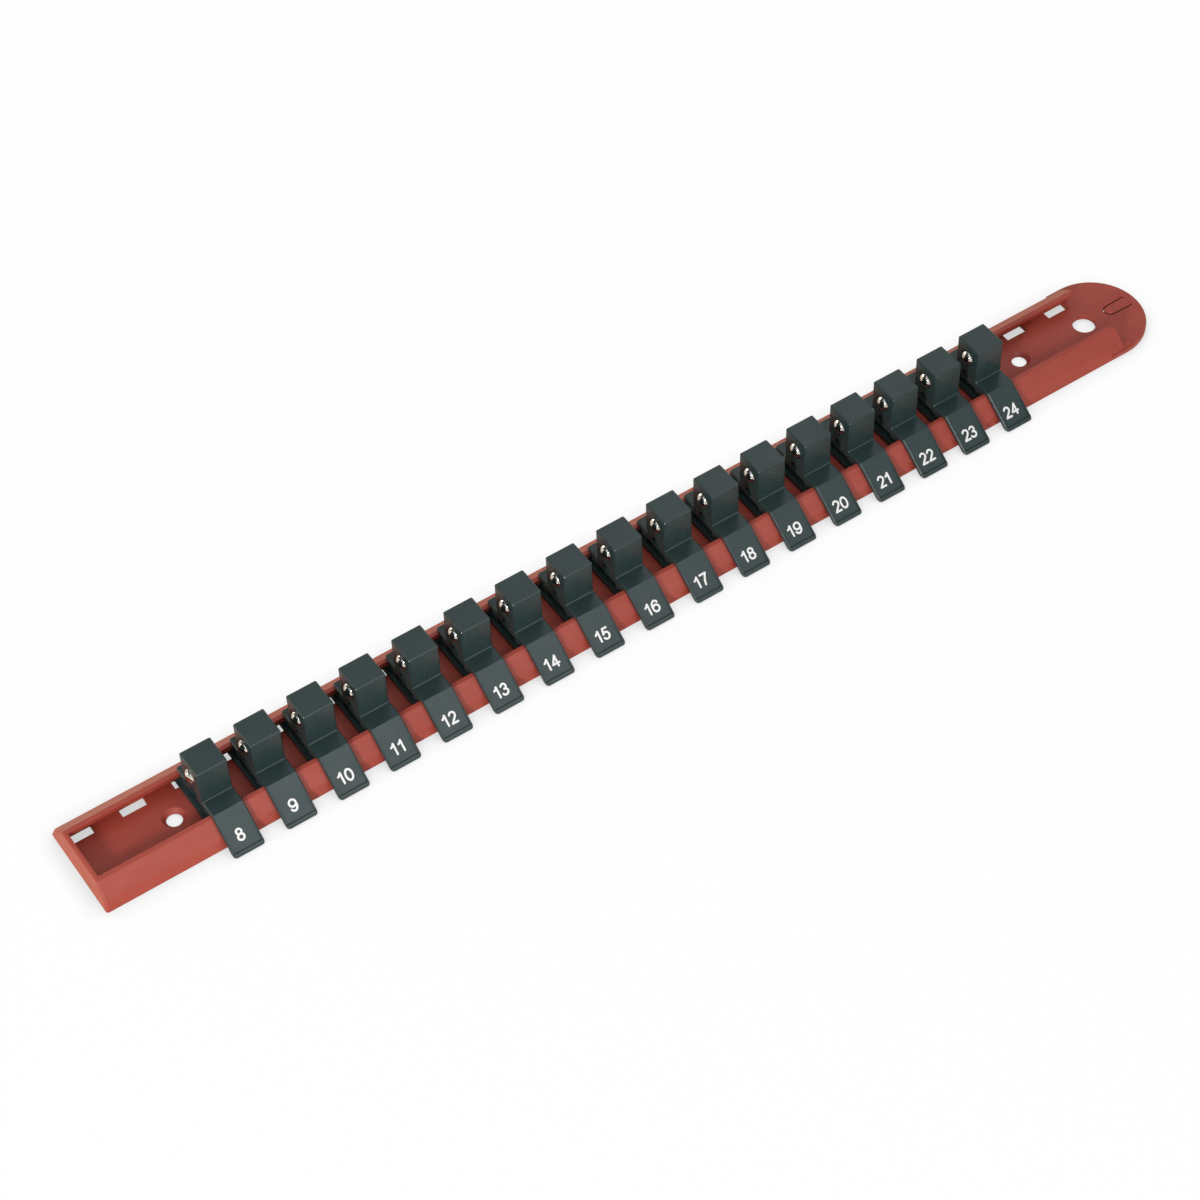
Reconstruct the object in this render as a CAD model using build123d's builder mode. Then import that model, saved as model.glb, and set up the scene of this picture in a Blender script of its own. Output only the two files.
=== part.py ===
from build123d import *
from math import atan2, cos, degrees, hypot, radians, sin, sqrt, tan
import os

# Socket rail: a moulded channel with seventeen numbered clips, each with a half inch square
# post and a sprung ball. The rail lies on its flat back. X runs along the rail towards the
# hanging tab, Y points to the rear lip and Z stands out of the back face. The origin is
# midway between the two screw holes, on the back face.

# Rail, outside
rail_length = 483.6
rail_half_width = 20.9
rail_height = 8.64
crown_half_width = 13.0
crease_half_width = 19.2
crease_height = 3.75
crown_radius = 1.2
crease_radius = 2.0
hang_tab_length = 22.4
end_wall_lean_distance = 1.5
end_wall_thickness = 1.6
end_corner_radius = 1.1

# Rail, inside
floor_thickness = 2.0
lip_thickness = 1.96
mouth_half_width = 11.15
mouth_edge_radius = 0.3
wall_thickness = 1.9
knee_height = 4.6
foot_wall_width = 4.4
lip_corner_radius = 3.0

# Windows through the floor, in two rows under the lips
window_length = 10.0
window_pitch = 21.22
first_window_distance = 2.56
window_inner_half = 10.75
window_outer_half = 15.5

# Screw holes, hanging hole and the low sill beside the front wall
first_screw_distance = 38.4
last_screw_distance = 37.3
screw_hole_radius = 3.05
screw_rim_radius = 4.5
screw_cone_angle = 100
hang_hole_radius = 4.7
hang_hole_offset = 5.2
hang_hole_edge_radius = 0.3
sill_length = 4.4
sill_width = 2.6
sill_height = 0.5
sill_edge_distance = 0.9

# Catch tongue at the open end
tongue_length = 9.4
tongue_end_radius = 2.2
tongue_root_half_width = 2.4
tongue_thickness = 1.1
tongue_root_margin = 3.2
tongue_root_gap = 0.12
tongue_slot_width = 0.6
dome_radius = 2.0
dome_height = 0.85

# Clip post and base
post_width = 12.5
post_height = 26.3
shoulder_height = 10.6
clip_edge_bevel_length = 0.4
post_foot_radius = 0.6
lip_clearance = 0.15
mouth_clearance = 0.25
foot_clearance = 0.15
foot_roof_clearance = 0.28
foot_side_clearance = 0.4
foot_half_length = 7.5
foot_ledge_height = 4.0
foot_corner_length = 0.8
pocket_half_width = 6.0
pocket_height = 3.4
pocket_depth = 1.2
rear_arm_distance = 13.0
rear_corner_radius = 0.9

# Label tab in front of the clip
bend_distance = 13.6
tab_end_distance = 27.2
tab_slope = 36
tab_thickness = 1.8
tab_end_clearance = 0.25
tab_corner_radius = 1.3
panel_top_margin = 4.6
panel_end_margin = 1.3
panel_side_margin = 0.8
panel_top_depth = 0.08
panel_end_depth = 0.55

# Ball, spring and the round recess below them
ball_radius = 3.45
ball_depth = 7.0
ball_bore_clearance = 0.08
ball_seat_clearance = 0.03
retaining_lip_thickness = 0.5
retaining_radius = 3.2
bore_back_thickness = 1.75
spring_radius = 2.7
spring_clearance = 0.02
recess_centre_depth = 16.3
recess_radius = 2.3
recess_depth = 0.8

# Where the clips stand, as shares of the way from the first clip to the last
first_number = 8
last_number = 24
first_clip_distance = 53.8
last_clip_end_distance = 59.1
clip_place_shares = {8: 0.0, 11: 0.1869, 14: 0.3785, 17: 0.572, 20: 0.7593, 22: 0.8799, 24: 1.0}

# One overrun for every cut
overrun = 3.0

# Places along the rail
channel_length = rail_length - hang_tab_length
screw_spacing = channel_length - first_screw_distance - last_screw_distance
rail_left = -screw_spacing / 2 - first_screw_distance
rail_right = rail_left + rail_length
wall_end = rail_left + channel_length
tab_centre = rail_right - rail_half_width
tongue_root = rail_right - tongue_root_margin
dome_centre = tongue_root - tongue_length

# Slope of the rail's side and the cavity that follows it at the wall's thickness
side_run = crease_half_width - crown_half_width
side_rise = rail_height - crease_height
side_shift = wall_thickness * hypot(side_run, side_rise) / side_rise
roof_height = rail_height - lip_thickness


def cavity_half_width(height):
    """Half width of the cavity on its sloping side, at a height above the back face."""
    return crown_half_width + (rail_height - height) * side_run / side_rise - side_shift


def mirrored(points):
    """The same points on the other side of the middle, in the opposite order."""
    return [(-across, height) for across, height in reversed(points)]


# Rail body
outer_side = [
    (rail_half_width, 0),
    (crease_half_width, crease_height),
    (crown_half_width, rail_height),
]
cavity_side = [
    (rail_half_width - foot_wall_width, floor_thickness),
    (cavity_half_width(knee_height), knee_height),
    (cavity_half_width(roof_height), roof_height),
    (mouth_half_width, roof_height),
    (mouth_half_width, rail_height - mouth_edge_radius),
]
mouth_top = [
    (mouth_half_width + mouth_edge_radius, rail_height),
    (mouth_half_width + mouth_edge_radius, rail_height + overrun),
]
end_lean_angle = degrees(atan2(end_wall_lean_distance, rail_height))
end_face = Plane(
    origin=(rail_left, 0, 0),
    x_dir=(0, 1, 0),
    z_dir=(cos(radians(end_lean_angle)), 0, -sin(radians(end_lean_angle))),
)

with BuildPart() as cavity:
    with BuildSketch(Plane.YZ.offset(rail_left - overrun)):
        with BuildLine():
            Polyline(*mirrored(cavity_side), *cavity_side)
            Polyline(*mouth_top, *mirrored(mouth_top))
            RadiusArc(cavity_side[-1], mouth_top[0], mouth_edge_radius)
            RadiusArc(mirrored(mouth_top)[-1], mirrored(cavity_side)[0], mouth_edge_radius)
        make_face()
    extrude(amount=rail_length + 2 * overrun)
    split(bisect_by=end_face.offset(end_wall_thickness), keep=Keep.TOP)

with BuildPart() as rail:
    with BuildSketch(Plane.YZ.offset(rail_left)) as section:
        with BuildLine():
            Polyline(*outer_side, *mirrored(outer_side), close=True)
        make_face()
        crown_corners = section.vertices().group_by(Axis.Y)[-1]
        fillet(crown_corners, radius=crown_radius)
        fillet(section.vertices().group_by(Axis.Y)[1], radius=crease_radius)
    extrude(amount=wall_end - rail_left)
    split(bisect_by=end_face, keep=Keep.TOP)
    end_outline = rail.faces().sort_by(Axis.X)[0].edges().group_by(Axis.Z)[1:]
    fillet([edge for group in end_outline for edge in group], radius=end_corner_radius)

    # The flat tab goes on from the floor and ends in a half circle
    with BuildSketch():
        with Locations((tab_centre, 0)):
            Circle(rail_half_width)
        with Locations(((wall_end + tab_centre) / 2 - overrun, 0)):
            Rectangle(tab_centre - wall_end + 2 * overrun, 2 * rail_half_width)
    extrude(amount=floor_thickness)
    with BuildSketch(Plane.XY.offset(floor_thickness)):
        with Locations((wall_end + sill_length / 2, sill_edge_distance + sill_width / 2 - rail_half_width)):
            Rectangle(sill_length, sill_width)
    extrude(amount=sill_height)

    add(cavity.part, mode=Mode.SUBTRACT)

    # The lips end in round corners
    corner_middle = mouth_half_width + lip_corner_radius
    with BuildSketch(Plane.XY.offset(roof_height)):
        for side in (-1, 1):
            with Locations((wall_end, side * mouth_half_width)):
                Rectangle(2 * lip_corner_radius, 2 * lip_corner_radius)
        with Locations(
            (wall_end - lip_corner_radius, -corner_middle),
            (wall_end - lip_corner_radius, corner_middle),
        ):
            Circle(lip_corner_radius, mode=Mode.SUBTRACT)
    extrude(amount=lip_thickness + overrun, mode=Mode.SUBTRACT)

    # Windows in two rows
    row_reach = (window_inner_half + window_outer_half) / 2
    first_window = rail_left + first_window_distance + window_length / 2
    window_count = int((channel_length - first_window_distance - window_length) / window_pitch) + 1
    with BuildSketch(Plane.XY.offset(-overrun)):
        for index in range(window_count):
            for side in (-1, 1):
                with Locations((first_window + index * window_pitch, side * row_reach)):
                    Rectangle(window_length, window_outer_half - window_inner_half)
    extrude(amount=overrun + floor_thickness, mode=Mode.SUBTRACT)

    # Countersunk screw holes and the hanging hole
    with Locations(Plane.XY.offset(floor_thickness)):
        with Locations((-screw_spacing / 2, 0), (screw_spacing / 2, 0)):
            CounterSinkHole(
                screw_hole_radius,
                screw_rim_radius,
                depth=floor_thickness,
                counter_sink_angle=screw_cone_angle,
            )
        with Locations((tab_centre - hang_hole_offset, 0)):
            Hole(hang_hole_radius, depth=floor_thickness)
    hang_rim = (
        rail.edges()
        .filter_by(GeomType.CIRCLE)
        .filter_by(lambda edge: abs(edge.radius - hang_hole_radius) < hang_hole_edge_radius)
        .group_by(Axis.Z)[-1]
    )
    fillet(hang_rim, radius=hang_hole_edge_radius)

    # The slot that frees the catch tongue on three sides
    with BuildSketch(Plane.XY.offset(-overrun)):
        with Locations((dome_centre, 0)):
            Circle(tongue_end_radius + tongue_slot_width)
        with BuildLine():
            Polyline(
                (dome_centre, tongue_end_radius + tongue_slot_width),
                (tongue_root, tongue_root_half_width + tongue_slot_width),
                (tongue_root, -tongue_root_half_width - tongue_slot_width),
                (dome_centre, -tongue_end_radius - tongue_slot_width),
                close=True,
            )
        make_face()
    extrude(amount=2 * overrun + floor_thickness, mode=Mode.SUBTRACT)

# Catch tongue: thinner than the floor, so that it can bend down, with a dome at its free end
with BuildPart() as catch_tongue:
    with BuildSketch(Plane.XY.offset(floor_thickness - tongue_thickness)):
        with Locations((dome_centre, 0)):
            Circle(tongue_end_radius)
        with BuildLine():
            Polyline(
                (dome_centre, tongue_end_radius),
                (tongue_root - tongue_root_gap, tongue_root_half_width),
                (tongue_root - tongue_root_gap, -tongue_root_half_width),
                (dome_centre, -tongue_end_radius),
                close=True,
            )
        make_face()
    extrude(amount=tongue_thickness)
    dome_sphere_radius = (dome_radius**2 + dome_height**2) / (2 * dome_height)
    with BuildSketch(Plane.XZ):
        with BuildLine():
            Polyline(
                (dome_centre, floor_thickness + dome_height),
                (dome_centre, floor_thickness),
                (dome_centre + dome_radius, floor_thickness),
            )
            RadiusArc(
                (dome_centre + dome_radius, floor_thickness),
                (dome_centre, floor_thickness + dome_height),
                -dome_sphere_radius,
            )
        make_face()
    revolve(axis=Axis((dome_centre, 0, 0), (0, 0, 1)))

# Clip
post_half = post_width / 2
neck_half = mouth_half_width - mouth_clearance
arm_underside = rail_height + lip_clearance
foot_bottom = floor_thickness + foot_clearance
foot_top = roof_height - foot_roof_clearance
tab_fall = tan(radians(tab_slope))
tab_drop = tab_thickness / cos(radians(tab_slope))
tab_end_top = shoulder_height - (tab_end_distance - bend_distance) * tab_fall
under_bend = bend_distance + (shoulder_height - tab_drop - arm_underside) / tab_fall


def on_tab(along, depth):
    """A point of the tab's section: the way down its slope and the depth below its face."""
    slope = radians(tab_slope)
    reach = bend_distance + along * cos(slope) - depth * sin(slope)
    height = shoulder_height - along * sin(slope) - depth * cos(slope)
    return (-reach, height)


def rim_of(faces):
    """The outline of a group of faces: the edges that only one of them has."""
    edges = [edge for face in faces for edge in face.edges()]
    return [edge for edge in edges if edges.count(edge) == 1]


upper_side = [
    (rear_arm_distance, arm_underside),
    (rear_arm_distance, shoulder_height),
    (post_half, shoulder_height),
    (post_half, post_height),
    (-post_half, post_height),
    (-post_half, shoulder_height),
    (-bend_distance, shoulder_height),
    (-tab_end_distance, tab_end_top),
    (-tab_end_distance, tab_end_top - tab_drop),
    (-under_bend, arm_underside),
]
foot_side = [
    (cavity_half_width(knee_height) - foot_side_clearance, foot_bottom),
    (cavity_half_width(knee_height) - foot_side_clearance, knee_height),
    (cavity_half_width(foot_top) - foot_side_clearance, foot_top),
    (neck_half, foot_top),
    (neck_half, foot_ledge_height),
]
panel_length = (tab_end_distance - bend_distance) / cos(radians(tab_slope)) - panel_end_margin
panel_side = [
    on_tab(panel_top_margin, panel_top_depth),
    on_tab(panel_length, panel_end_depth),
    on_tab(panel_length, -overrun),
    on_tab(panel_top_margin, -overrun),
]
ball_height = post_height - ball_depth
ball_seat = sqrt((ball_radius + ball_seat_clearance) ** 2 - retaining_radius**2)
ball_centre = -post_half + retaining_lip_thickness + ball_seat
bore_radius = ball_radius + ball_bore_clearance
bore_end = post_half - bore_back_thickness

with BuildPart() as clip:
    # Post, arms and label tab, from the side; the tab stops short of the surface under the rail
    with BuildSketch(Plane.YZ) as side_view:
        with BuildLine():
            Polyline(*upper_side, close=True)
        make_face()
        post_feet = side_view.vertices().filter_by(
            lambda corner: abs(corner.Y - shoulder_height) < clip_edge_bevel_length
            and abs(corner.X) < rear_arm_distance - clip_edge_bevel_length
        )
        fillet(post_feet, radius=post_foot_radius)
        with Locations((0, tab_end_clearance)):
            Rectangle(
                2 * tab_end_distance + overrun,
                tab_end_distance,
                align=(Align.CENTER, Align.MAX),
                mode=Mode.SUBTRACT,
            )
    extrude(amount=post_half, both=True)
    upright_faces = clip.faces().filter_by(Axis.Y).sort_by(Axis.Y)
    fillet(upright_faces[0].edges().filter_by(Axis.Z), radius=tab_corner_radius)
    upright_faces = clip.faces().filter_by(Axis.Y).sort_by(Axis.Y)
    fillet(upright_faces[-1].edges().filter_by(Axis.Z), radius=rear_corner_radius)

    # Every upper edge and the post's corners are bevelled
    upper_faces = clip.faces().filter_by(lambda face: face.normal_at().Z > 0)
    post_corners = clip.edges().filter_by(Axis.Z).group_by(Axis.Z)[-1]
    chamfer(rim_of(upper_faces) + list(post_corners), length=clip_edge_bevel_length)

    # Sunk label panel, deeper towards the tab's end
    with BuildSketch(Plane.YZ):
        with BuildLine():
            Polyline(*panel_side, close=True)
        make_face()
    extrude(amount=post_half - panel_side_margin, both=True, mode=Mode.SUBTRACT)

    # Foot that hooks under both lips and is a little longer than the post is wide
    with BuildSketch(Plane.YZ):
        with BuildLine():
            Polyline(*foot_side, *mirrored(foot_side), close=True)
        make_face()
    extrude(amount=foot_half_length, both=True)
    foot_corners = (
        clip.edges()
        .filter_by(Axis.Z)
        .filter_by_position(Axis.Z, foot_bottom, knee_height)
        .filter_by(lambda edge: abs(edge.center().Y) > neck_half)
    )
    chamfer(foot_corners, length=foot_corner_length)

    # Neck between the lips, with a hollow in both sides above the foot's ledge
    with BuildSketch(Plane.XY.offset(foot_ledge_height)):
        Rectangle(post_width, 2 * neck_half)
    extrude(amount=arm_underside - foot_ledge_height)
    with BuildSketch(Plane.XY.offset(foot_ledge_height)):
        with Locations((-post_half, 0), (post_half, 0)):
            Rectangle(2 * pocket_depth, 2 * pocket_half_width)
    extrude(amount=pocket_height, mode=Mode.SUBTRACT)

    # Bore for the ball and its spring, behind a retaining lip, and the recess below it
    side_face = Plane(origin=(-post_half, 0, 0), x_dir=(0, 1, 0), z_dir=(1, 0, 0))
    with BuildSketch(side_face.offset(retaining_lip_thickness)):
        with Locations((0, ball_height)):
            Circle(bore_radius)
    extrude(amount=bore_end + post_half - retaining_lip_thickness, mode=Mode.SUBTRACT)
    with BuildSketch(side_face.offset(-overrun)):
        with Locations((0, ball_height)):
            Circle(retaining_radius)
    extrude(amount=overrun + retaining_lip_thickness, mode=Mode.SUBTRACT)
    with BuildSketch(side_face.offset(-overrun)):
        with Locations((0, post_height - recess_centre_depth)):
            Circle(recess_radius)
    extrude(amount=overrun + recess_depth, mode=Mode.SUBTRACT)

# Ball, which a spring in the post presses against the retaining lip
with BuildPart() as ball:
    with Locations((ball_centre, 0, ball_height)):
        Sphere(ball_radius)

# Spring, hidden in the bore, as a plain rod
spring_start = ball_centre + ball_radius + spring_clearance
with BuildPart() as spring:
    with BuildSketch(Plane(origin=(spring_start, 0, ball_height), z_dir=(1, 0, 0))):
        Circle(spring_radius)
    extrude(amount=bore_end - spring_start)


def clip_distance(number):
    """Distance of a numbered clip from the rail's end, between the two known shares beside it."""
    before = max(known for known in clip_place_shares if known <= number)
    after = min(known for known in clip_place_shares if known >= number)
    share = clip_place_shares[before]
    if after > before:
        part_way = (number - before) / (after - before)
        share += (clip_place_shares[after] - share) * part_way
    clip_run = channel_length - first_clip_distance - last_clip_end_distance
    return first_clip_distance + share * clip_run


def write_piece(shape, label):
    """Give a finished piece its label and write it."""
    shape.label = label
    export_step(shape, f"parts/{label}.step")


os.makedirs("parts", exist_ok=True)
write_piece(rail.part, "rail")
write_piece(catch_tongue.part, "catch_tongue")
for number in range(first_number, last_number + 1):
    place = Location((rail_left + clip_distance(number), 0, 0))
    write_piece(clip.part.moved(place), f"clip_{number:02d}")
    write_piece(ball.part.moved(place), f"ball_{number:02d}")
    write_piece(spring.part.moved(place), f"spring_{number:02d}")
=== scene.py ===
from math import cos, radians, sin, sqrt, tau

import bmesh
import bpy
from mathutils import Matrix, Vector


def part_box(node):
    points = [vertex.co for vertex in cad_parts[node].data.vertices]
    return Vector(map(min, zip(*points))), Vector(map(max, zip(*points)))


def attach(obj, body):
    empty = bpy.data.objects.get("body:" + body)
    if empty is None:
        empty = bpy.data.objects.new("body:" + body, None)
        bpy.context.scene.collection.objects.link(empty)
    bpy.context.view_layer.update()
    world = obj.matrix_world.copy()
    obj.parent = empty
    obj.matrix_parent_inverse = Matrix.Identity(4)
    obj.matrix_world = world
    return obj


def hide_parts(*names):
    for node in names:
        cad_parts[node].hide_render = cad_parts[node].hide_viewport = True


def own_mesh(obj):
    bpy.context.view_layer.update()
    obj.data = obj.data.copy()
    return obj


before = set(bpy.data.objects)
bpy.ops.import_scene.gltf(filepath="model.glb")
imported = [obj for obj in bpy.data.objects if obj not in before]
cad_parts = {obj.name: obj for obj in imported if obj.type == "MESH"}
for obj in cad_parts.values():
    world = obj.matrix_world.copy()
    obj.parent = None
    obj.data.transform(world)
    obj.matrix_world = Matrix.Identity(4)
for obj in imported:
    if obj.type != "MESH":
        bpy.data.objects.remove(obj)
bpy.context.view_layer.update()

# A socket rail on a pale floor: a red moulded channel with seventeen black numbered clips, each
# with a square post and a sprung ball. The solids come packed from the CAD model. This script
# gives them their finishes, adds the printed numbers and the wound springs, and sets the floor,
# the lights and the photograph's camera. All lengths are in metres.

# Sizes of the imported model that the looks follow, in metres
first_number = 8
last_number = 24
numbers = range(first_number, last_number + 1)
shoulder_height = 0.0106
post_top = 0.0263
bend_reach = 0.0136
tab_slope = radians(36)
panel_tilt = radians(2.47)
panel_depth_at_label = 0.000334

# The line of painted shade at the foot of the panel, where it meets the ridge: its place down
# the slope of the tab from its bend, and how far below the tab's face it may lie
panel_shade_along = 0.01525
panel_shade_width = 0.00028
panel_shade_softness = 0.00006
face_softness = 0.00005
panel_shade_depth = 0.00075

# The slot around the catch tongue, whose walls get painted shade: its reach along the rail, half
# its width and its levels
slot_reach = (0.235, 0.2488)
slot_half_width = 0.0079
slot_levels = (0.0002, 0.00188)
slot_softness = 0.0001
slot_level_softness = 0.00004

# The wound springs behind the balls, and the small gap between a spring and its ball
wire_radius = 0.00035
coil_radius = 0.00235
coil_turns = 5
steps_per_turn = 20
wire_sides = 6
seat_clearance = 0.00002

# The camera, found from the post corners and rail edges: its place from the first post's top,
# and where its right, its down and its forward point
camera_from_first_post = Vector((-0.21356, -0.60164, 0.82121))
camera_right = Vector((0.825107, -0.564195, -0.029704))
camera_down = Vector((-0.449272, -0.623342, -0.639999))
camera_forward = Vector((0.342569, 0.541413, -0.767801))
focal_length_mm = 88.363
sensor_width_mm = 36
nearest_view = 0.01

# Printed numbers: their place down the slope of the tab from its bend and beside its middle, and
# the size of their strokes. Crossing strokes differ in height by a step, so that none coincide.
label_along = 0.0101
label_shift = -0.00045
stroke_width = 0.0008
digit_height = 0.0041
ink_thickness = 0.00004
ink_root = 0.00002
ink_step = 0.000004


def centre_of(node):
    """Middle of a CAD node's box."""
    low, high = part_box(node)
    return (Vector(low) + Vector(high)) / 2


# Shared effects


def make_group(name, inputs, outputs):
    """An empty node group with the named sockets, and its input and output nodes."""
    group = bpy.data.node_groups.new(name, "ShaderNodeTree")
    for label, kind, value in inputs:
        socket = group.interface.new_socket(label, in_out="INPUT", socket_type=kind)
        socket.default_value = value
    for label, kind in outputs:
        group.interface.new_socket(label, in_out="OUTPUT", socket_type=kind)
    return group, group.nodes.new("NodeGroupInput"), group.nodes.new("NodeGroupOutput")


def link(tree, source, target):
    """Joins an output socket to an input socket."""
    tree.links.new(source, target)


def set_or_link(tree, value, target):
    """Gives an input socket a fixed value, or joins it to an output socket."""
    if isinstance(value, bpy.types.NodeSocket):
        link(tree, value, target)
    else:
        target.default_value = value


def object_place(tree):
    """Where a point lies on its object."""
    return tree.nodes.new("ShaderNodeTexCoord").outputs["Object"]


def noise(tree, coordinates, scale, detail, roughness):
    """A noise texture read at object coordinates; gives its value from 0 to 1."""
    node = tree.nodes.new("ShaderNodeTexNoise")
    node.inputs["Detail"].default_value = detail
    node.inputs["Roughness"].default_value = roughness
    set_or_link(tree, scale, node.inputs["Scale"])
    link(tree, coordinates, node.inputs["Vector"])
    return node.outputs["Fac"]


def spread(tree, value, start, end, start_gives, end_gives):
    """Maps a value from one range to another and holds it inside the new range."""
    node = tree.nodes.new("ShaderNodeMapRange")
    link(tree, value, node.inputs["Value"])
    node.inputs["From Min"].default_value = start
    node.inputs["From Max"].default_value = end
    for socket, bound in ((node.inputs["To Min"], start_gives), (node.inputs["To Max"], end_gives)):
        set_or_link(tree, bound, socket)
    return node.outputs["Result"]


def mixed(tree, factor, first, second):
    """Mixes two colours by a factor; each may be a socket or a fixed colour."""
    node = tree.nodes.new("ShaderNodeMix")
    node.data_type = "RGBA"
    link(tree, factor, node.inputs["Factor"])
    for socket, colour in ((node.inputs["A"], first), (node.inputs["B"], second)):
        set_or_link(tree, colour, socket)
    return node.outputs["Result"]


def product(tree, values):
    """The values multiplied together."""
    result = values[0]
    for value in values[1:]:
        node = tree.nodes.new("ShaderNodeMath")
        node.operation = "MULTIPLY"
        link(tree, result, node.inputs[0])
        link(tree, value, node.inputs[1])
        result = node.outputs["Value"]
    return result


def above(tree, value, bound, softness):
    """One above a bound and nothing below it, with a soft step."""
    return spread(tree, value, bound - softness, bound + softness, 0, 1)


def below(tree, value, bound, softness):
    """One below a bound and nothing above it, with a soft step."""
    return spread(tree, value, bound - softness, bound + softness, 1, 0)


def between(tree, value, low, high, softness):
    """One between two bounds and nothing outside them, with soft steps."""
    return product(tree, [above(tree, value, low, softness), below(tree, value, high, softness)])


def tongue_slot(tree):
    """Marks the walls of the slot around the catch tongue for painted shade, as little light
    reaches them.
    """
    apart = tree.nodes.new("ShaderNodeSeparateXYZ")
    link(tree, object_place(tree), apart.inputs["Vector"])
    across = tree.nodes.new("ShaderNodeMath")
    across.operation = "ABSOLUTE"
    link(tree, apart.outputs["Y"], across.inputs[0])
    inside = between(tree, apart.outputs["X"], *slot_reach, 2 * slot_softness)
    beside = below(tree, across.outputs["Value"], slot_half_width, slot_softness)
    level = between(tree, apart.outputs["Z"], *slot_levels, slot_level_softness)
    return product(tree, [inside, beside, level])


def place_along(tree, direction):
    """How far a point of the object lies along a direction."""
    along = tree.nodes.new("ShaderNodeVectorMath")
    along.operation = "DOT_PRODUCT"
    along.inputs[1].default_value = direction
    link(tree, object_place(tree), along.inputs[0])
    return along.outputs["Value"]


def panel_groove(tree):
    """Marks a line of painted shade where the sunk panel meets the ridge at the tab's end."""
    start = bend_reach * cos(tab_slope) - shoulder_height * sin(tab_slope) + panel_shade_along
    top = bend_reach * sin(tab_slope) + shoulder_height * cos(tab_slope)
    down = place_along(tree, (0, -cos(tab_slope), -sin(tab_slope)))
    outward = place_along(tree, (0, -sin(tab_slope), cos(tab_slope)))
    line = between(tree, down, start, start + panel_shade_width, panel_shade_softness)
    face = above(tree, outward, top - panel_shade_depth, face_softness)
    return product(tree, [line, face])


flow_stretch = (0.35, 1, 1)


def make_moulded_skin():
    """Fine spark-eroded grain of moulded plastic, with soft flow marks and small light scuffs."""
    group, given, result = make_group(
        "moulded_skin",
        [
            ("Colour", "NodeSocketColor", (0.5, 0.5, 0.5, 1)),
            ("Flow colour", "NodeSocketColor", (0.5, 0.5, 0.5, 1)),
            ("Scuff colour", "NodeSocketColor", (0.8, 0.8, 0.8, 1)),
            ("Flow amount", "NodeSocketFloat", 0.5),
            ("Scuff amount", "NodeSocketFloat", 0.3),
            ("Base roughness", "NodeSocketFloat", 0.4),
            ("Grain scale", "NodeSocketFloat", 2500.0),
        ],
        [
            ("Colour", "NodeSocketColor"),
            ("Roughness", "NodeSocketFloat"),
            ("Height", "NodeSocketFloat"),
        ],
    )
    place = object_place(group)
    # Flow marks, drawn out along the rail
    drawn = group.nodes.new("ShaderNodeVectorMath")
    drawn.operation = "MULTIPLY"
    drawn.inputs[1].default_value = flow_stretch
    link(group, place, drawn.inputs[0])
    streaks = noise(group, drawn.outputs["Vector"], scale=75, detail=3, roughness=0.55)
    flow = spread(group, streaks, 0.35, 0.7, 0.0, given.outputs["Flow amount"])
    flowed = mixed(group, flow, given.outputs["Colour"], given.outputs["Flow colour"])
    # Small light scuffs
    rubbed = noise(group, place, scale=700, detail=5, roughness=0.7)
    scuffs = spread(group, rubbed, 0.66, 0.8, 0.0, given.outputs["Scuff amount"])
    scuffed = mixed(group, scuffs, flowed, given.outputs["Scuff colour"])
    link(group, scuffed, result.inputs["Colour"])
    # A gloss that changes a little over the surface
    gloss = noise(group, place, scale=160, detail=4, roughness=0.6)
    shift = spread(group, gloss, 0.3, 0.7, -0.05, 0.07)
    add = group.nodes.new("ShaderNodeMath")
    add.operation = "ADD"
    link(group, given.outputs["Base roughness"], add.inputs[0])
    link(group, shift, add.inputs[1])
    link(group, add.outputs["Value"], result.inputs["Roughness"])
    grain = noise(group, place, given.outputs["Grain scale"], detail=2, roughness=0.5)
    link(group, grain, result.inputs["Height"])
    return group


moulded_skin = make_moulded_skin()
plastic_ior = 1.46
shaded_roughness = 0.95


def make_moulded_plastic(name, colour, flow_colour, scuff_colour, shade, shade_colour, values):
    """A moulded plastic with the shared skin at its own colours and amounts; shade marks the
    places that get painted shade, which take the shade colour and a rougher finish."""
    material = bpy.data.materials.new(name)
    material.use_nodes = True
    tree = material.node_tree
    shader = tree.nodes["Principled BSDF"]
    skin = tree.nodes.new("ShaderNodeGroup")
    skin.node_tree = moulded_skin
    skin.inputs["Colour"].default_value = colour
    skin.inputs["Flow colour"].default_value = flow_colour
    skin.inputs["Scuff colour"].default_value = scuff_colour
    for label in ("Flow amount", "Scuff amount", "Base roughness", "Grain scale"):
        skin.inputs[label].default_value = values[label]
    bump = tree.nodes.new("ShaderNodeBump")
    bump.inputs["Strength"].default_value = values["Bump strength"]
    bump.inputs["Distance"].default_value = values["Bump distance"]
    link(tree, skin.outputs["Height"], bump.inputs["Height"])
    link(tree, bump.outputs["Normal"], shader.inputs["Normal"])
    shaded = shade(tree)
    surface = mixed(tree, shaded, skin.outputs["Colour"], shade_colour)
    link(tree, surface, shader.inputs["Base Color"])
    finish = spread(tree, shaded, 0, 1, skin.outputs["Roughness"], shaded_roughness)
    link(tree, finish, shader.inputs["Roughness"])
    shader.inputs["IOR"].default_value = plastic_ior
    for label in ("Sheen Weight", "Sheen Roughness", "Sheen Tint"):
        shader.inputs[label].default_value = values[label]
    return material


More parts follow.
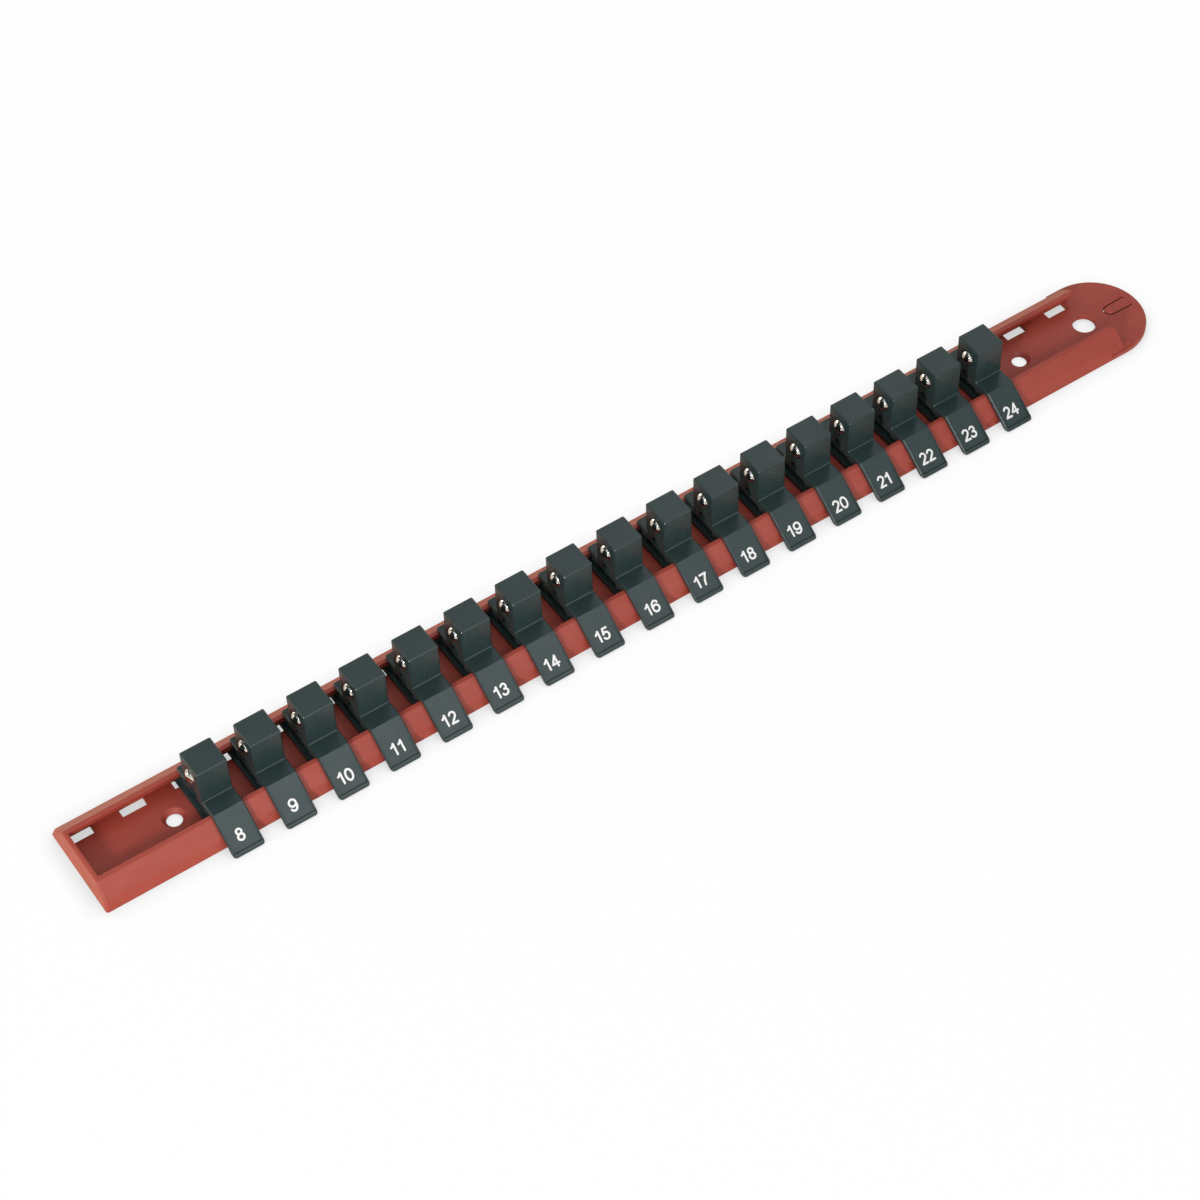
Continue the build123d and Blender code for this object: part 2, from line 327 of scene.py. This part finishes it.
rail_plastic = make_moulded_plastic(
    "rail_plastic",
    colour=(0.355, 0.050, 0.031, 1),
    flow_colour=(0.42, 0.074, 0.050, 1),
    scuff_colour=(0.48, 0.12, 0.085, 1),
    # The slot walls take painted shade: a dark red and a rough finish
    shade=tongue_slot,
    shade_colour=(0.10, 0.014, 0.010, 1),
    values={
        "Flow amount": 0.8,
        "Scuff amount": 0.3,
        "Base roughness": 0.44,
        "Grain scale": 1800.0,
        "Bump strength": 0.2,
        "Bump distance": 0.0001,
        "Sheen Weight": 0.5,
        "Sheen Roughness": 0.3,
        "Sheen Tint": (1.0, 0.55, 0.3, 1),
    },
)
clip_plastic = make_moulded_plastic(
    "clip_plastic",
    colour=(0.020, 0.040, 0.041, 1),
    flow_colour=(0.026, 0.047, 0.048, 1),
    scuff_colour=(0.09, 0.12, 0.12, 1),
    # A thin line of painted shade at the foot of each label panel
    shade=panel_groove,
    shade_colour=(0.005, 0.010, 0.010, 1),
    values={
        "Flow amount": 0.6,
        "Scuff amount": 0.25,
        "Base roughness": 0.29,
        "Grain scale": 3000.0,
        "Bump strength": 0.25,
        "Bump distance": 0.0001,
        "Sheen Weight": 0.0,
        "Sheen Roughness": 0.5,
        "Sheen Tint": (1.0, 1.0, 1.0, 1),
    },
)


def make_polished_steel(name, colour, roughness, haze_scale):
    """Bright steel with faint polishing haze that changes the roughness."""
    material = bpy.data.materials.new(name)
    material.use_nodes = True
    tree = material.node_tree
    shader = tree.nodes["Principled BSDF"]
    shader.inputs["Metallic"].default_value = 1.0
    haze = noise(tree, object_place(tree), haze_scale, detail=4, roughness=0.6)
    finish = spread(tree, haze, 0.3, 0.7, roughness * 0.7, roughness * 1.6)
    link(tree, finish, shader.inputs["Roughness"])
    dull = tuple(channel * 0.8 for channel in colour[:3]) + (1,)
    link(tree, mixed(tree, haze, colour, dull), shader.inputs["Base Color"])
    return material


ball_chrome = make_polished_steel(
    "ball_chrome", colour=(0.82, 0.81, 0.78, 1), roughness=0.08, haze_scale=900)
spring_steel = make_polished_steel(
    "spring_steel", colour=(0.5, 0.5, 0.5, 1), roughness=0.3, haze_scale=600)

fresh_ink = (0.88, 0.88, 0.87, 1)
worn_ink = (0.35, 0.37, 0.37, 1)


def make_printed_white():
    """White pad-printed ink, a little worn through at its pinholes."""
    material = bpy.data.materials.new("printed_white")
    material.use_nodes = True
    tree = material.node_tree
    shader = tree.nodes["Principled BSDF"]
    pinholes = noise(tree, object_place(tree), scale=3200, detail=3, roughness=0.6)
    worn = spread(tree, pinholes, 0.62, 0.75, 0.0, 0.4)
    link(tree, mixed(tree, worn, fresh_ink, worn_ink), shader.inputs["Base Color"])
    link(tree, spread(tree, worn, 0, 1, 0.45, 0.7), shader.inputs["Roughness"])
    return material


printed_white = make_printed_white()

# The CAD nodes get their finish


def dress(node, material):
    """Gives every material slot of a CAD node the same finish."""
    for material_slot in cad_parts[node].material_slots:
        material_slot.material = material


dress("rail", rail_plastic)
dress("catch_tongue", rail_plastic)
for number in numbers:
    dress(f"clip_{number:02d}", clip_plastic)
    dress(f"ball_{number:02d}", ball_chrome)
    dress(f"spring_{number:02d}", spring_steel)

# Printed numbers on the label panels


arc_step_degrees = 12


def arc(middle, radii, start, end):
    """Points along part of an ellipse, from one angle in degrees to another."""
    steps = max(4, round(abs(end - start) / arc_step_degrees))
    angles = [radians(start + (end - start) * step / steps) for step in range(steps + 1)]
    return [(middle[0] + radii[0] * cos(angle), middle[1] + radii[1] * sin(angle))
            for angle in angles]


def loop(middle, radii):
    """A whole ellipse as a closed stroke: its last point is its first."""
    return arc(middle, radii, 0, 360)


six = [arc((0.34, 0.5), (0.34, 0.5), 38, 195), loop((0.31, 0.31), (0.31, 0.31))]

# The strokes of each digit, with round ends, for a digit one unit high
digit_strokes = {
    "0": [loop((0.31, 0.5), (0.31, 0.5))],
    "1": [[(0, 0.73), (0.16, 0.82), (0.29, 1)], [(0.3, 0.98), (0.3, 0)]],
    "2": [arc((0.3, 0.71), (0.27, 0.29), 160, -32) + [(0.02, 0)], [(0.02, 0), (0.58, 0)]],
    "3": [
        arc((0.27, 0.755), (0.24, 0.245), 155, -90),
        arc((0.25, 0.275), (0.29, 0.275), 85, -155),
    ],
    "4": [[(0.46, 0), (0.46, 1)], [(0.46, 1), (0, 0.27)], [(0, 0.27), (0.66, 0.27)]],
    "5": [
        [(0.55, 1), (0.14, 1)],
        [(0.14, 1), (0.06, 0.5)],
        arc((0.27, 0.32), (0.3, 0.32), 145, -152),
    ],
    "6": six,
    "7": [[(0, 1), (0.6, 1)], [(0.6, 1), (0.42, 0.7), (0.27, 0.35), (0.2, 0)]],
    "8": [loop((0.29, 0.765), (0.24, 0.235)), loop((0.29, 0.275), (0.29, 0.275))],
    # A nine is a six turned over
    "9": [[(0.62 - across, 1 - up) for across, up in stroke] for stroke in six],
}

# Blank space to the left and right of each digit, in the same unit
digit_blanks = {digit: (0.12, 0.12) for digit in digit_strokes}
digit_blanks["1"] = (0.18, 0.26)


def side_points(points, half_width):
    """The points at half a stroke's width to the left of a path."""
    moved = []
    closed = points[0] == points[-1]
    for index, (across, up) in enumerate(points):
        before = points[index - 1] if index else points[-2 if closed else 0]
        after = points[index + 1] if index < len(points) - 1 else points[1 if closed else index]
        along = Vector((after[0] - before[0], after[1] - before[1])).normalized()
        moved.append((across - along.y * half_width, up + along.x * half_width))
    return moved


def round_end(point, before, half_width):
    """The half circle that ends a stroke at a point, from its left side to its right."""
    along = Vector((point[0] - before[0], point[1] - before[1])).normalized()
    across = Vector((-along.y, along.x))
    turned = [(along * cos(radians(angle)) + across * sin(radians(angle))) * half_width
              for angle in range(60, -61, -30)]
    return [(point[0] + step.x, point[1] + step.y) for step in turned]


def add_stroke(shape, points, low, high):
    """One stroke of ink: a flat ribbon with round ends, or a ring where it closes."""
    half_width = stroke_width / 2
    closed = (Vector(points[0]) - Vector(points[-1])).length < half_width / 100
    if closed:
        points = points[:-1] + [points[0]]
    sides = [side_points(points, half_width), side_points(points, -half_width)]
    if closed:
        outlines = [side[:-1] for side in sides]
    else:
        start = round_end(points[0], points[1], half_width)
        finish = round_end(points[-1], points[-2], half_width)
        outlines = [sides[0] + finish + list(reversed(sides[1])) + start]
    rings = [[shape.verts.new((*point, low)) for point in outline] for outline in outlines]
    if closed:
        edges = [shape.edges.new((ring[index - 1], ring[index]))
                 for ring in rings for index in range(len(ring))]
        faces = bmesh.ops.bridge_loops(shape, edges=edges)["faces"]
    else:
        faces = [shape.faces.new(rings[0])]
    raised = bmesh.ops.extrude_face_region(shape, geom=faces)["geom"]
    corners = [part for part in raised if isinstance(part, bmesh.types.BMVert)]
    bmesh.ops.translate(shape, verts=corners, vec=(0, 0, high - low))


def finish_piece(name, shape, material, body, place=None):
    """Turns a shape into a piece that rides on a CAD body."""
    bmesh.ops.recalc_face_normals(shape, faces=shape.faces)
    mesh = bpy.data.meshes.new(name)
    shape.to_mesh(mesh)
    shape.free()
    if place:
        mesh.transform(place)
    mesh.materials.append(material)
    piece = bpy.data.objects.new(name, mesh)
    bpy.context.scene.collection.objects.link(piece)
    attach(piece, body)
    return piece


def make_label(number):
    """A clip's number, printed on its sunk panel."""
    digits = str(number)
    widths = {digit: max(point[0] for stroke in digit_strokes[digit] for point in stroke)
              for digit in digits}
    gap = digit_blanks[digits[0]][1] + digit_blanks[digits[-1]][0]
    start = -(sum(widths[digit] for digit in digits) + gap * (len(digits) - 1)) / 2
    shape = bmesh.new()
    level = 0
    for digit in digits:
        for stroke in digit_strokes[digit]:
            points = [((start + across) * digit_height, (up - 0.5) * digit_height)
                      for across, up in stroke]
            add_stroke(shape, points, -ink_root, ink_thickness + level * ink_step)
            level += 1
        start += widths[digit] + gap
    reach = bend_reach + label_along * cos(tab_slope)
    height = shoulder_height - label_along * sin(tab_slope)
    outward = Vector((0, -sin(tab_slope), cos(tab_slope)))
    across = centre_of(f"clip_{number:02d}").x + label_shift
    middle = Vector((across, -reach, height)) - outward * panel_depth_at_label
    place = Matrix.Translation(middle) @ Matrix.Rotation(tab_slope + panel_tilt, 4, "X")
    finish_piece(
        f"label_{number:02d}", shape, printed_white, f"clip_{number:02d}", place)


for number in numbers:
    make_label(number)

# Wound springs in the posts, which stand for the plain rods of the CAD model


def make_spring(number):
    """A wound spring that rests on its ball."""
    ball_low, ball_high = (corner[0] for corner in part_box(f"ball_{number:02d}"))
    ball = centre_of(f"ball_{number:02d}")
    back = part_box(f"spring_{number:02d}")[1][0]
    reach = (ball_high - ball_low) / 2 + wire_radius + seat_clearance
    front = ball.x + sqrt(reach ** 2 - coil_radius ** 2)
    steps = coil_turns * steps_per_turn
    shape = bmesh.new()
    upright = Matrix.Rotation(tau / 4, 4, "X")
    section = Matrix.Translation((front, ball.y, ball.z + coil_radius)) @ upright
    wire = bmesh.ops.create_circle(
        shape, segments=wire_sides, radius=wire_radius, matrix=section)["verts"]
    around = list({edge for corner in wire for edge in corner.link_edges})
    bmesh.ops.spin(
        shape, geom=wire + around, cent=(front, ball.y, ball.z), axis=(1, 0, 0),
        angle=coil_turns * tau, dvec=((back - wire_radius - front) / steps, 0, 0), steps=steps)
    bmesh.ops.holes_fill(shape, edges=shape.edges, sides=wire_sides)
    piece = finish_piece(
        f"coil_{number:02d}", shape, spring_steel, f"clip_{number:02d}")
    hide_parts(f"spring_{number:02d}")
    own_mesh(piece)


for number in numbers:
    make_spring(number)

# Stage

# The floor is warm white where it lights the object or shows in it, and nearly all plain white
# to the camera
floor_half_size = 6
floor_colour = (0.97, 0.89, 0.78, 1.0)
floor_whiteness = 0.975

# The floor lies this far below the back face, so that the two never show through each other
floor_gap = 0.0001

# The soft shadow round the object's foot: how far it reaches, how bright it stays at its darkest
# and the openness at which it gets there
contact_reach = 0.009
contact_shade = 0.62
contact_openness = 0.3


def make_floor():
    """Pale floor that looks white to the camera and keeps a soft shadow."""
    mesh = bpy.data.meshes.new("floor")
    shape = bmesh.new()
    bmesh.ops.create_grid(
        shape, x_segments=1, y_segments=1, size=floor_half_size,
        matrix=Matrix.Translation((0, 0, -floor_gap)))
    shape.to_mesh(mesh)
    shape.free()
    floor = bpy.data.objects.new("floor", mesh)
    bpy.context.scene.collection.objects.link(floor)
    material = bpy.data.materials.new("pale_floor")
    material.use_nodes = True
    tree = material.node_tree
    tree.nodes.remove(tree.nodes["Principled BSDF"])
    matt = tree.nodes.new("ShaderNodeBsdfDiffuse")
    matt.inputs["Color"].default_value = floor_colour
    white = tree.nodes.new("ShaderNodeEmission")
    open_sky = tree.nodes.new("ShaderNodeAmbientOcclusion")
    open_sky.samples = 4
    open_sky.inputs["Distance"].default_value = contact_reach
    contact = spread(tree, open_sky.outputs["AO"], contact_openness, 1, contact_shade, 1)
    link(tree, contact, white.inputs["Strength"])
    rays = tree.nodes.new("ShaderNodeLightPath")
    share = spread(tree, rays.outputs["Is Camera Ray"], 0, 1, 0, floor_whiteness)
    blend = tree.nodes.new("ShaderNodeMixShader")
    link(tree, share, blend.inputs["Fac"])
    link(tree, matt.outputs["BSDF"], blend.inputs[1])
    link(tree, white.outputs["Emission"], blend.inputs[2])
    link(tree, blend.outputs["Shader"], tree.nodes["Material Output"].inputs["Surface"])
    mesh.materials.append(material)


make_floor()


# The surroundings: their strength as a light and in reflections. Towards the rear left the room
# is dark, as the balls show; the cosines say where the dark starts and where it is full.
surround_light = 0.54
surround_reflection = 0.8
dark_reflection = 0.08
dark_side = Vector((-0.75, 0.5, 0.45)).normalized()
dark_cosines = (0.86, 0.93)


def make_world():
    """Even white surroundings: white to the camera, softer in reflections and as a light."""
    world = bpy.data.worlds.new("surroundings")
    bpy.context.scene.world = world
    world.use_nodes = True
    tree = world.node_tree
    tree.nodes.clear()
    lamp = tree.nodes.new("ShaderNodeBackground")
    white = tree.nodes.new("ShaderNodeBackground")
    white.inputs["Color"].default_value = (1, 1, 1, 1)
    rays = tree.nodes.new("ShaderNodeLightPath")
    aim = tree.nodes.new("ShaderNodeVectorMath")
    aim.operation = "DOT_PRODUCT"
    aim.inputs[1].default_value = dark_side
    link(tree, tree.nodes.new("ShaderNodeTexCoord").outputs["Generated"], aim.inputs[0])
    reflected = spread(
        tree, aim.outputs["Value"], *dark_cosines, surround_reflection, dark_reflection)
    strength = spread(tree, rays.outputs["Is Glossy Ray"], 0, 1, surround_light, reflected)
    link(tree, strength, lamp.inputs["Strength"])
    blend = tree.nodes.new("ShaderNodeMixShader")
    link(tree, rays.outputs["Is Camera Ray"], blend.inputs["Fac"])
    link(tree, lamp.outputs["Background"], blend.inputs[1])
    link(tree, white.outputs["Background"], blend.inputs[2])
    output = tree.nodes.new("ShaderNodeOutputWorld")
    link(tree, blend.outputs["Shader"], output.inputs["Surface"])


make_world()


white_light = (1.0, 1.0, 1.0)
cream_light = (1.0, 0.9, 0.75)
amber_light = (1.0, 0.72, 0.5)


def add_softbox(name, place, aim, size, power, colour=white_light):
    """A square area lamp that faces a point."""
    lamp = bpy.data.lights.new(name, "AREA")
    lamp.color = colour
    lamp.shape = "SQUARE"
    lamp.size = size
    lamp.energy = power
    holder = bpy.data.objects.new(name, lamp)
    holder.location = place
    holder.rotation_euler = (Vector(aim) - Vector(place)).to_track_quat("-Z", "Y").to_euler()
    bpy.context.scene.collection.objects.link(holder)


add_softbox("key_softbox", place=(0.12, -0.78, 0.98), aim=(0, 0, 0), size=0.75, power=2.9)
add_softbox("front_softbox", place=(0.35, -1.25, 0.2), aim=(0, 0, 0), size=0.5, power=1.2)
add_softbox("right_softbox", place=(0.7, 0.8, 1.2), aim=(0.1, 0, 0), size=0.5, power=0.45)
# Low warm lights that show on the rear slope and on the end wall
add_softbox("rear_softbox", place=(-0.4, 1.1, 0.25), aim=(0, 0, 0), size=0.4, power=4.5,
            colour=amber_light)
add_softbox("end_softbox", place=(-1.25, 0.7, 0.14), aim=(-0.23, 0, 0), size=0.5, power=1.8,
            colour=cream_light)
# The small lamp on the left casts the hard shadow in the channel and the glints on the tabs
add_softbox("left_lamp", place=(-1.11, -0.75, 0.55), aim=(-0.2, 0, 0), size=0.18, power=10.5)

# Camera


def make_camera():
    """The photograph's camera."""
    lens = bpy.data.cameras.new("camera")
    lens.sensor_width = sensor_width_mm
    lens.lens = focal_length_mm
    lens.clip_start = nearest_view
    camera = bpy.data.objects.new("camera", lens)
    first_post = Vector((centre_of(f"clip_{first_number:02d}").x, 0, post_top))
    place = first_post + camera_from_first_post
    axes = (camera_right, -camera_down, -camera_forward, place)
    rows = [[axis[row] for axis in axes] for row in range(3)]
    camera.matrix_world = Matrix(rows + [[0, 0, 0, 1]])
    bpy.context.scene.collection.objects.link(camera)
    bpy.context.scene.camera = camera


make_camera()
bpy.context.scene.view_settings.view_transform = "Standard"
